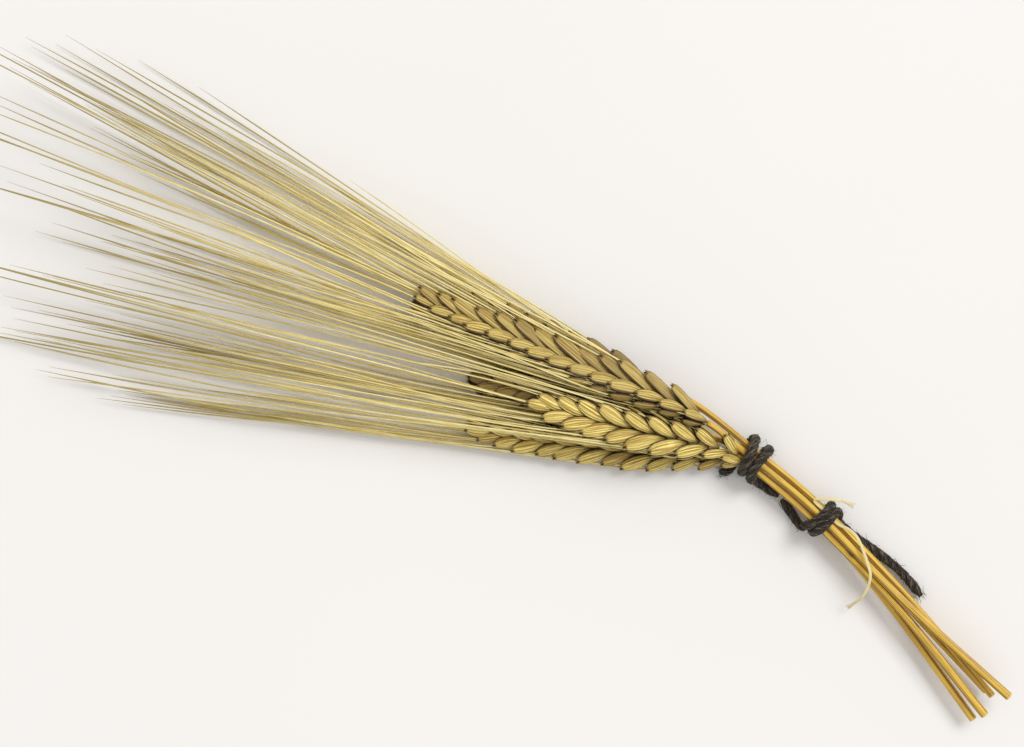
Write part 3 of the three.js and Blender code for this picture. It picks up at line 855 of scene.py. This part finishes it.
def scale_places(spikelet):
    """The kind, shape and outward side of the five scales of a spikelet, lemmas last."""
    flanks = [(flank, spikelet["normal"] * flank) for flank in (-1, 1)]
    if spikelet["is_long"]:
        glumes = [(BLADE, BLADE_SHAPE, outward) for _, outward in flanks]
    else:
        glumes = [(GLUME, GLUME_SHAPES[spikelet["row"] * flank], outward) for flank, outward in flanks]
    middle = (MIDDLE_LEMMA, LEMMA_SHAPE, spikelet["outwards"])
    return [*glumes, middle, *((SIDE_LEMMA, LEMMA_SHAPE, outward) for _, outward in flanks)]


def scales_of(spikelet, random):
    """The five scales of a spikelet: foot, direction, outward side, size and shape."""
    growth, along, root = (spikelet[key] for key in ("growth", "along", "root"))
    found = []
    for kind, shape, outward in scale_places(spikelet):
        up, out = leaning(along, outward, kind["lean"] + random.normal(0, kind["spread"]))
        foot = root + (along * kind["up"] + out * kind["out"]) * growth
        found.append((foot, up, out, np.array(kind["size"]) * growth, shape))
    return [(foot, up, out, size * random.normal(1, SIZE_SPREAD), shape)
            for foot, up, out, size, shape in found]


random = np.random.default_rng(SEED)
for stalk in STALKS.values():
    for spikelet in stalk["spikelets"]:
        spikelet["scales"] = scales_of(spikelet, random)
print("the first scale is", np.round(STALKS["a"]["spikelets"][0]["scales"][0][3], 1), "mm")

# %% Tree that sets scales on points
def scales_tree():
    tree, given = geometry_tree("scales on points", Shapes="Collection", Material="Material")
    shapes = add(tree, "GeometryNodeCollectionInfo",
                 {"Collection": given["Shapes"], "Separate Children": True, "Reset Children": True})
    facing = add(tree, "FunctionNodeAxesToRotation",
                 {0: named(tree, "along_axis", "FLOAT_VECTOR"), 1: named(tree, "out_axis", "FLOAT_VECTOR")},
                 primary_axis="Z", secondary_axis="Y")
    placed = add(tree, "GeometryNodeInstanceOnPoints", {
        "Points": given["Geometry"], "Instance": shapes.outputs[0], "Pick Instance": True,
        "Instance Index": named(tree, "shape", "INT"), "Rotation": facing.outputs[0],
        "Scale": named(tree, "size", "FLOAT_VECTOR"),
    }).outputs[0]
    finish_tree(tree, placed, given["Material"])
    return tree


SCALES_TREE = scales_tree()


# How much darker a scale may be than the next, and how much darker lemmas and blades are than glumes
UNEVEN_TINT = 0.3
LEMMA_TINT = 0.3


def make_scales(name, stalk, random):
    scales = [scale for spikelet in stalk["spikelets"] for scale in spikelet["scales"]]
    feet, ups, outs, sizes, shapes = (np.array(part) for part in zip(*scales))
    # The stalk's age darkens all its scales; for ear d much of it is painted shade
    tint = stalk["age_and_shade"] + UNEVEN_TINT * random.random(len(feet)) + LEMMA_TINT * (shapes >= LEMMA_SHAPE)
    points = mesh_object(
        name, feet, along_axis=ups, out_axis=outs, size=sizes * MM, shape=shapes.astype(int), tint=tint)
    return grown(points, SCALES_TREE, Shapes=SHAPES, Material=CHAFF)


scales = {key: make_scales(f"ear_{key}_scales", stalk, random) for key, stalk in STALKS.items()}

# %% [markdown]
# ## Awns
# An awn is the long bristle that a lemma ends in. It leaves in the direction of its scale, bends into the
# fan of its ear within a few centimetres, and thins out to a hair. Hair curves would be lighter, but they
# don't leave Blender with the model, so a tree sweeps a small circle along each line. Awns from the foot of
# an ear spread furthest, so they pass beside the ear and not over its face. One that would run through
# another ear is drawn again.

# %% What an awn stays clear of
# Half the room that an awn leaves across and through an ear or a straw, in millimetres
EAR_CLEARANCE = (4.9, 3.2)
STRAW_CLEARANCE = (1.5, 1.5)
AXIS_SAMPLES = 70
AXIS_REACH = 3


def axis_samples(stalk):
    """Places along a stalk that an awn of another stalk has to stay clear of."""
    samples = []
    for distance in np.linspace(0, stalk["route"].length, AXIS_SAMPLES):
        clearance = EAR_CLEARANCE if distance > stalk["ear_starts"] else STRAW_CLEARANCE
        samples.append((*stalk["route"].frame(distance, stalk["roll"]), clearance))
    return samples


def is_clear(points, samples):
    for centre, direction, side, normal, (across, through) in samples:
        offset = points - centre
        near = np.abs(offset @ direction) < AXIS_REACH
        inside = ((offset @ side) / across) ** 2 + ((offset @ normal) / through) ** 2 < 1
        if (near & inside).any():
            return False
    return True


all_samples = {key: axis_samples(stalk) for key, stalk in STALKS.items()}
print("samples", sum(len(samples) for samples in all_samples.values()))

# %% The line of one awn
AWN_POINTS = 22
CROWDING = 1.5
# Where on its scale an awn starts, and how much of its reach it takes to bend, as shares
AWN_START = 0.86
BEND_SHARE = 0.06
# Awns gather in bunches across the fan, and a random share of it is added to their place there
BUNCHES = 5
BUNCHING = 0.4
FAN_JITTER = 0.4
# Limits of how often and how far an awn sways to the side, in half waves and millimetres
SWAYS = (0.8, 2.2)
SWAY_WIDTH = (0, 1.8)
# The awns end inside the outline of the solids, and lie no lower than this
LOW_CORNER, HIGH_CORNER = (np.array(corner) / MM + OUTLINE_MIDDLE for corner in cad_box)
SHORT_OF_WALL = (0.97, 1)
BELOW_TOP = 0.4
AWN_LOWEST = 0.45


def room(start, heading):
    """How far a level line may run before it leaves the outline of the solids."""
    walls = np.where(heading < 0, LOW_CORNER, HIGH_CORNER)
    return min((walls[axis] - start[axis]) / heading[axis] for axis in (0, 1) if heading[axis])


def awn_heading(stalk, spikelet, side_y, random):
    """Awns keep to a few bunches, and those from the foot of the ear spread furthest."""
    outer = np.sign(spikelet["row"] * side_y)
    jitter = FAN_JITTER * (random.random() - 0.5)
    spread = 0.5 + outer * 0.5 * math.sqrt(1 - spikelet["share"]) + jitter
    bunch = round(spread * BUNCHES) / BUNCHES
    heading = math.radians(180 - between(stalk["fan"], spread + BUNCHING * (bunch - spread)))
    return np.array([math.cos(heading), math.sin(heading), 0.0])


def awn_line(stalk, spikelet, scale, side_y, shares, random):
    foot, up, _, size, _ = scale
    start = foot + up * size[2] * AWN_START
    heading = awn_heading(stalk, spikelet, side_y, random)
    reach = between(stalk["reach"], random.random()) * random.uniform(*shares)
    reach = min(reach, room(start, heading) * random.uniform(*SHORT_OF_WALL))
    end = start + heading * reach
    height = end[2] + between(stalk["rise"], random.random())
    end[2] = np.clip(height, AWN_LOWEST, HIGH_CORNER[2] - BELOW_TOP)
    bend = start + up * BEND_SHARE * reach
    bend[2] = between((start[2], end[2]), BEND_SHARE)
    t = np.linspace(0, 1, AWN_POINTS)[:, None] ** CROWDING
    line = start * (1 - t) ** 2 + bend * 2 * t * (1 - t) + end * t**2
    wave = np.sin(t * math.pi * random.uniform(*SWAYS) + random.uniform(0, 6))
    line += wave * t * random.uniform(*SWAY_WIDTH) * np.array([-heading[1], heading[0], 0])
    line[:, 2] = np.maximum(line[:, 2], AWN_LOWEST)
    return line


# %% The awns of an ear
# How likely each awn of a spikelet is, and the shares of its reach that it has at least and at most
AWN_CHANCES = [(1.0, 0.8, 1.0), (0.6, 0.5, 1.0), (0.3, 0.25, 0.6)]
UPPER_FIRST = 0.65
AWN_TRIES = 40


def awns_of(stalk, others, random):
    side_y = stalk["route"].frame(stalk["route"].length - 1, stalk["roll"])[2][1]
    found = []
    for spikelet in stalk["spikelets"]:
        _, _, middle, lower_lemma, upper_lemma = spikelet["scales"]
        sides = [upper_lemma, lower_lemma] if random.random() < UPPER_FIRST else [lower_lemma, upper_lemma]
        order = [*sides, middle]
        for number, (scale, (chance, *shares)) in enumerate(zip(order, AWN_CHANCES)):
            if number and random.random() > chance * stalk["bristles"]:
                continue
            for _ in range(AWN_TRIES):
                line = awn_line(stalk, spikelet, scale, side_y, shares, random)
                if all(is_clear(line, samples) for samples in others):
                    found.append(line)
                    break
    return found


for key, stalk in STALKS.items():
    others = [samples for other, samples in all_samples.items() if other != key]
    stalk["awns"] = awns_of(stalk, others, random)
print("awns", [len(stalk["awns"]) for stalk in STALKS.values()])

# %% Tree that sweeps a circle along lines
def measured_curve(tree, mesh):
    """Lines as curves that know how far along they are in millimetres, and the same length in metres."""
    curve = add(tree, "GeometryNodeMeshToCurve", {"Mesh": mesh}).outputs[0]
    length = add(tree, "GeometryNodeSplineParameter").outputs["Length"]
    return stored(tree, curve, "along", math_node(tree, "DIVIDE", length, MM)), length


def marked_circle(tree, sides, radius):
    """A circle whose points know how far round it they are."""
    inputs = {"Resolution": sides, "Radius": radius}
    circle = add(tree, "GeometryNodeCurvePrimitiveCircle", inputs).outputs[0]
    return stored(tree, circle, "around", add(tree, "GeometryNodeSplineParameter").outputs["Factor"])


def swept(tree, curve, profile, material):
    inputs = {"Curve": curve, "Profile Curve": profile, "Scale": named(tree, "thickness"), "Fill Caps": True}
    finish_tree(tree, add(tree, "GeometryNodeCurveToMesh", inputs).outputs[0], material)


def sweep_tree():
    tree, given = geometry_tree("sweep a circle", Sides="Int", Material="Material")
    curves, _ = measured_curve(tree, given["Geometry"])
    swept(tree, curves, marked_circle(tree, given["Sides"], MM), given["Material"])
    return tree


SWEEP_TREE = sweep_tree()
# Radii at the foot and near the end, and that of the point at the very end
AWN_RADIUS = (0.25, 0.2)
AWN_POINT = 0.03
AWN_THICKNESS = (0.8, 1.1)
RACHIS_RADIUS = (0.7, 0.6)
RACHIS_POINTS = 24
RACHIS_INTO_STRAW = 0.5


def awn_thickness(random):
    share = np.linspace(0, 1, AWN_POINTS)
    thickness = between(AWN_RADIUS, share) * random.uniform(*AWN_THICKNESS)
    thickness[-1] = AWN_POINT
    return thickness


def make_awns(name, stalk, random):
    """The awns of an ear, and the rachis that its spikelets stand on."""
    ends = (stalk["ear_starts"] - RACHIS_INTO_STRAW, stalk["route"].length - ROOM_AT_TIP)
    rachis = np.linspace(*ends, RACHIS_POINTS)
    runs = [*stalk["awns"], stalk["route"].points_at(rachis)]
    thicknesses = [awn_thickness(random) for _ in stalk["awns"]]
    thicknesses.append(between(RACHIS_RADIUS, np.linspace(0, 1, RACHIS_POINTS)))
    points, edges, thickness = strung(runs, thicknesses)
    tint = np.concatenate([np.full(len(run), random.random()) for run in runs])
    lines = mesh_object(name, points, edges=edges, thickness=thickness, tint=tint)
    return grown(lines, SWEEP_TREE, Sides=5, Material=AWN)


awns = {key: make_awns(f"ear_{key}_awns", stalk, random) for key, stalk in STALKS.items()}

# %% [markdown]
# ## Twine
# The ties are dark twine of three plies. One way would be a smooth cord with a painted twist, but the plies
# catch the light and cast small shadows at the edge, so they are geometry: a profile of three circles side
# by side is swept along the route while the route's tilt turns it steadily. Thinner circles outside them
# make the fibres that wrap the twine.

# %% Routes of the ties
upper = STATIONS["upper_tie"]
lower = STATIONS["lower_tie"]
UPPER_TURN_RADIUS = 4.2
LOWER_TURN_RADIUS = 4.05
# Each turn by its angle round the straws, in degrees, and how far along the bundle it lies
UPPER_TURNS = [(-80, -3.4), (-40, -3.4), (0, -3.2), (40, -2.9), (80, -2.3), (120, -1.7), (160, -1.1),
               (200, -0.6), (240, 0.0), (280, 0.5), (320, 0.9), (360, 1.1), (400, 0.9), (440, 0.6),
               (480, 0.7), (520, 1.6), (556, 3.0)]
LOWER_TURNS = [(176, -2.6), (136, -2.1), (96, -1.8), (56, -1.7), (16, -1.6), (-24, -1.5), (-64, -1.3),
               (-104, -1.0), (-144, -0.6), (-184, -0.2), (-224, 0.1), (-264, 0.2), (-304, 0.2), (-344, 0.4),
               (-384, 1.4), (-412, 2.8)]
UPPER_TIE = Route([
    beside(upper, -4.9, -7.7, 1.35), beside(upper, -3.7, -6.2, 1.35), beside(upper, -3.5, -3.6, 1.3),
    *[around(upper, UPPER_TURN_RADIUS, angle, along) for angle, along in UPPER_TURNS],
    beside(upper, 5.4, -3.6, 1.7), beside(upper, 7.6, -3.3, 1.35), beside(upper, 10.4, -3.1, 1.3),
])
LOWER_TIE = Route([
    beside(lower, -10.9, -3.7, 1.3), beside(lower, -8.2, -4.0, 1.2), beside(lower, -5.2, -4.6, 1.4),
    beside(lower, -2.9, -5.0, 3.0),
    *[around(lower, LOWER_TURN_RADIUS, angle, along) for angle, along in LOWER_TURNS],
    beside(lower, 6.6, 2.5, 1.25), beside(lower, 10.6, 3.2, 1.2), beside(lower, 18.2, 4.3, 1.3),
    beside(lower, 24.1, 4.7, 1.6), beside(lower, 30.6, 3.9, 2.1),
])
print("ties", round(UPPER_TIE.length, 1), round(LOWER_TIE.length, 1), "mm long")

# %% Tree that twists plies round a route
# The radius of one strand and of the ring that the strands stand in, as shares of the twine's radius
PLY = {"radius": 0.50, "ring": 0.45, "sides": 12}
FIBRE_AROUND = {"radius": 0.13, "ring": 0.78, "sides": 5}
SHADE_STEP = 0.618


def ring_of_circles(tree, count, twine_radius, strand):
    """Small circles standing round a ring, as the profile of several strands, each in a shade of its own."""
    ring_radius = math_node(tree, "MULTIPLY", twine_radius, strand["ring"])
    radius = math_node(tree, "MULTIPLY", twine_radius, strand["radius"])
    inputs = {"Resolution": count, "Radius": ring_radius}
    ring = add(tree, "GeometryNodeCurvePrimitiveCircle", inputs).outputs[0]
    points = add(tree, "GeometryNodeCurveToPoints", {"Curve": ring}, mode="EVALUATED").outputs[0]
    circle = marked_circle(tree, strand["sides"], radius)
    placed = add(tree, "GeometryNodeInstanceOnPoints", {"Points": points, "Instance": circle}).outputs[0]
    index = add(tree, "GeometryNodeInputIndex").outputs[0]
    shade = math_node(tree, "FRACT", math_node(tree, "MULTIPLY", index, SHADE_STEP))
    placed = stored(tree, placed, "tint", shade, "INSTANCE")
    return add(tree, "GeometryNodeRealizeInstances", {"Geometry": placed}).outputs[0]


def twine_tree():
    kinds = {"Radius": "Float", "Plies": "Int", "Fibres": "Int", "Turns_per_metre": "Float"}
    tree, given = geometry_tree("twisted plies", **kinds, Material="Material")
    curve, length = measured_curve(tree, given["Geometry"])
    twist = math_node(tree, "MULTIPLY", given["Turns per metre"], math.tau)
    inputs = {"Curve": curve, "Tilt": math_node(tree, "MULTIPLY", length, twist)}
    curve = add(tree, "GeometryNodeSetCurveTilt", inputs).outputs[0]
    profile = add(tree, "GeometryNodeJoinGeometry")
    for count, strand in ((given["Plies"], PLY), (given["Fibres"], FIBRE_AROUND)):
        tree.links.new(ring_of_circles(tree, count, given["Radius"], strand), profile.inputs[0])
    swept(tree, curve, profile.outputs[0], given["Material"])
    return tree


TWINE_TREE = twine_tree()
print("the twine tree has", len(TWINE_TREE.nodes), "nodes")

# %% Twine of the ties
UPPER_TWINE_RADIUS = 1.4
LOWER_TWINE_RADIUS = 1.25
# Whole turns in a metre
TWIST = 110.0
LINE_STEP = 0.45
WORN_END = 2.2
SWELLING = {"size": 0.06, "radians": 40}
UNEVEN_TWINE = 0.03


def make_twine(name, route, radius, random):
    count = round(route.length / LINE_STEP) + 1
    line = route.points_at(np.linspace(0, route.length, count))
    to_end = np.minimum(np.arange(count), np.arange(count)[::-1]) * LINE_STEP
    swelling = SWELLING["size"] * np.sin(np.linspace(0, SWELLING["radians"], count))
    thickness = 1 + swelling + random.normal(0, UNEVEN_TWINE, count)
    thickness *= between((0.5, 1), smooth_step(to_end, 0, WORN_END))
    lines = mesh_object(name, line, edges=[(i, i + 1) for i in range(count - 1)], thickness=thickness)
    return grown(
        lines, TWINE_TREE, Radius=radius * MM, Plies=3, Fibres=11, Turns_per_metre=TWIST, Material=TWINE)


upper_twine = make_twine("tie_upper_plies", UPPER_TIE, UPPER_TWINE_RADIUS, random)
lower_twine = make_twine("tie_lower_plies", LOWER_TIE, LOWER_TWINE_RADIUS, random)

# %% Loose hairs of the twine
HAIRS_PER_MM = 2.2
HAIR_STEPS = 6
HAIR_THICKNESS = 0.05
HAIR_TIP = 0.5
HAIR_COARSENESS = (0.7, 1.6)
HAIR_LENGTH = (0.5, 1.9)
HAIR_LIFT = (0.15, 0.75)
# How deep in the twine it starts, and how far it turns from the lay and curls
HAIR_ROOT = 0.9
HAIR_TURN = (0.5, 0.4)
HAIR_CURL = 0.3
# Half of the hairs stand in the fifth of the twine next to an end, most of them at the very end
NEAR_END = 0.5
END_SHARE = 0.2


def hair_line(route, radius, random):
    """A hair leaves the twine along its lay and lifts off it."""
    near_end = random.random() < NEAR_END
    share = random.random() ** 3 * END_SHARE if near_end else random.random()
    share = share if random.random() < 0.5 else 1 - share
    point, direction, side, normal = route.frame(route.length * share)
    angle = random.uniform(0, math.tau)
    outward = side * math.cos(angle) + normal * math.sin(angle)
    across = np.cross(direction, outward)
    lay = unit(direction * random.choice([-1, 1]) + across * random.normal(*HAIR_TURN))
    length = random.uniform(*HAIR_LENGTH)
    steps = np.linspace(0, 1, HAIR_STEPS)[:, None]
    lift = outward * random.uniform(*HAIR_LIFT) * length * steps**1.6
    curl = across * random.normal(0, HAIR_CURL) * steps**2
    return point + outward * radius * HAIR_ROOT + lay * length * steps + lift + curl


def make_hairs(name, route, radius, random):
    runs = [hair_line(route, radius, random) for _ in range(int(route.length * HAIRS_PER_MM))]
    thinning = HAIR_THICKNESS * np.linspace(1, HAIR_TIP, HAIR_STEPS)
    points, edges, thickness = strung(runs, [thinning * random.uniform(*HAIR_COARSENESS) for _ in runs])
    tint = np.repeat(random.random(len(runs)), HAIR_STEPS)
    lines = mesh_object(name, points, edges=edges, thickness=thickness, tint=tint)
    return grown(lines, SWEEP_TREE, Sides=3, Material=TWINE)


upper_hairs = make_hairs("tie_upper_hairs", UPPER_TIE, UPPER_TWINE_RADIUS, random)
lower_hairs = make_hairs("tie_lower_hairs", LOWER_TIE, LOWER_TWINE_RADIUS, random)

# %% [markdown]
# ## The loose strand
# A strand of pale straw fibre is caught under the lower tie. A single flat ribbon would be simpler, but the
# real one frays at both ends, so it is swept as a few thin fibres that run together in the middle and part
# at the ends.

# %% Strand
def valley(along):
    """A place in the groove between two straws, under the lower tie."""
    return beside(lower, along, 1.65, lower["z"] + 2.3)


STRAND = Route([
    beside(lower, 2.4, 7.7, 5.8), beside(lower, 0.2, 6.9, 7.6), beside(lower, -1.9, 5.8, 8.7),
    beside(lower, -4.1, 3.9, 8.4), valley(-5.8), valley(-1.5), valley(2.5), beside(lower, 5.2, 2.6, 8.2),
    beside(lower, 8.4, 2.5, 9.2), beside(lower, 14.2, -0.1, 9.6), beside(lower, 17.4, -2.3, 9.2),
    beside(lower, 19.6, -6.6, 6.8), beside(lower, 19.6, -11.5, 2.0),
])
STRAND_FIBRES = 5
STRAND_WIDTH = 0.5
STRAND_STEP = 0.6
# Radii of a fibre at its ends and in the middle
FIBRE_RADIUS = (0.08, 0.16)
# How long the frayed ends are, how far they part, and how much less in height than in width
FRAYED = 6.0
FRAY_WIDTH = 0.5
FLAT_FRAY = 0.6


def strand_runs(random):
    distances = np.arange(0, STRAND.length, STRAND_STEP)
    from_end = np.clip(np.minimum(distances, STRAND.length - distances) / FRAYED, 0, 1)
    frames = [STRAND.frame(distance) for distance in distances]
    runs = []
    for number in range(STRAND_FIBRES):
        offset = (number - (STRAND_FIBRES - 1) / 2) / STRAND_FIBRES * STRAND_WIDTH
        wide, high = random.normal(0, FRAY_WIDTH, 2)
        runs.append(np.array([
            point + side * (offset + wide * (1 - share) ** 2) + normal * high * (1 - share) ** 2 * FLAT_FRAY
            for (point, _, side, normal), share in zip(frames, from_end)
        ]))
    return runs, [between(FIBRE_RADIUS, from_end)] * STRAND_FIBRES


def make_strand(name, random):
    points, edges, thickness = strung(*strand_runs(random))
    lines = mesh_object(name, points, edges=edges, thickness=thickness, tint=random.random(len(points)))
    return grown(lines, SWEEP_TREE, Sides=6, Material=FIBRE)


strand = make_strand("fibre_strand_fibres", random)
print("strand", round(STRAND.length, 1), "mm long")

# %% [markdown]
# ## Table and light
# The photo has a pale, slightly warm background and soft light from the upper right, so shadows fall to the
# lower left. A small lamp would draw every awn twice, so a wide one gives the shadows a soft edge, and an
# even pale world fills them.

# %% Table
TABLE_HALF = 1500
TABLE_TONES = ((0.80, 0.79, 0.78), (0.84, 0.83, 0.82))


def table_material():
    material, tree, surface = new_material("pale table", Roughness=0.8)
    place = add(tree, "ShaderNodeTexCoord").outputs["Object"]
    clouds = add(tree, "ShaderNodeTexNoise", {"Vector": place, "Scale": 6.0, "Detail": 2.0}).outputs[0]
    tree.links.new(mixed(tree, clouds, *TABLE_TONES), surface.inputs["Base Color"])
    return material


corners = np.array([(-1, -1, 0), (1, -1, 0), (1, 1, 0), (-1, 1, 0)]) * TABLE_HALF
table = mesh_object("table", corners, faces=[(0, 1, 2, 3)])
table.data.materials.append(table_material())
print("table", 2 * TABLE_HALF, "mm wide")

# %% Lamp and world
# The place is in millimetres, the size in metres
LAMP_PLACE = (1590, 3565, 4700)
LAMP_WATTS = 214
LAMP_SIZE = 2.6
LAMP_COLOUR = (1.0, 0.985, 0.96)
ROOM_COLOUR = (1.0, 0.985, 0.97, 1)
ROOM_STRENGTH = 0.72

lamp_data = bpy.data.lights.new("window", "AREA")
lamp_data.energy = LAMP_WATTS
lamp_data.size = LAMP_SIZE
lamp_data.color = LAMP_COLOUR
lamp = bpy.data.objects.new("window", lamp_data)
lamp.location = in_metres(LAMP_PLACE)
lamp.rotation_euler = lamp.location.to_track_quat("Z", "Y").to_euler()
bpy.context.collection.objects.link(lamp)

world = bpy.data.worlds.new("soft room")
world.use_nodes = True
background = world.node_tree.nodes["Background"].inputs
background["Color"].default_value = ROOM_COLOUR
background["Strength"].default_value = ROOM_STRENGTH
bpy.context.scene.world = world
bpy.context.scene.view_settings.view_transform = "Standard"
print("lamp", LAMP_WATTS, "W at", LAMP_PLACE)

# %% [markdown]
# ## Hand over
# Each dressed piece rides on the one body of the bundle and stands for its plain solid, which isn't shown
# any more. The shapes that the scales were copied from aren't part of the object, so they go.

# %% Ride, replace and finish
def stands_for(piece, node):
    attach(piece, "root")
    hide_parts(node)


for key in STALKS:
    stands_for(straws[key], f"straw_{key}")
    stands_for(scales[key], f"ear_{key}")
    stands_for(awns[key], f"ear_{key}")
stands_for(upper_twine, "tie_upper")
stands_for(lower_twine, "tie_lower")
stands_for(upper_hairs, "tie_upper")
stands_for(lower_hairs, "tie_lower")
stands_for(strand, "fibre_strand")

for shape in list(SHAPES.objects):
    bpy.data.objects.remove(shape)
bpy.data.collections.remove(SHAPES)
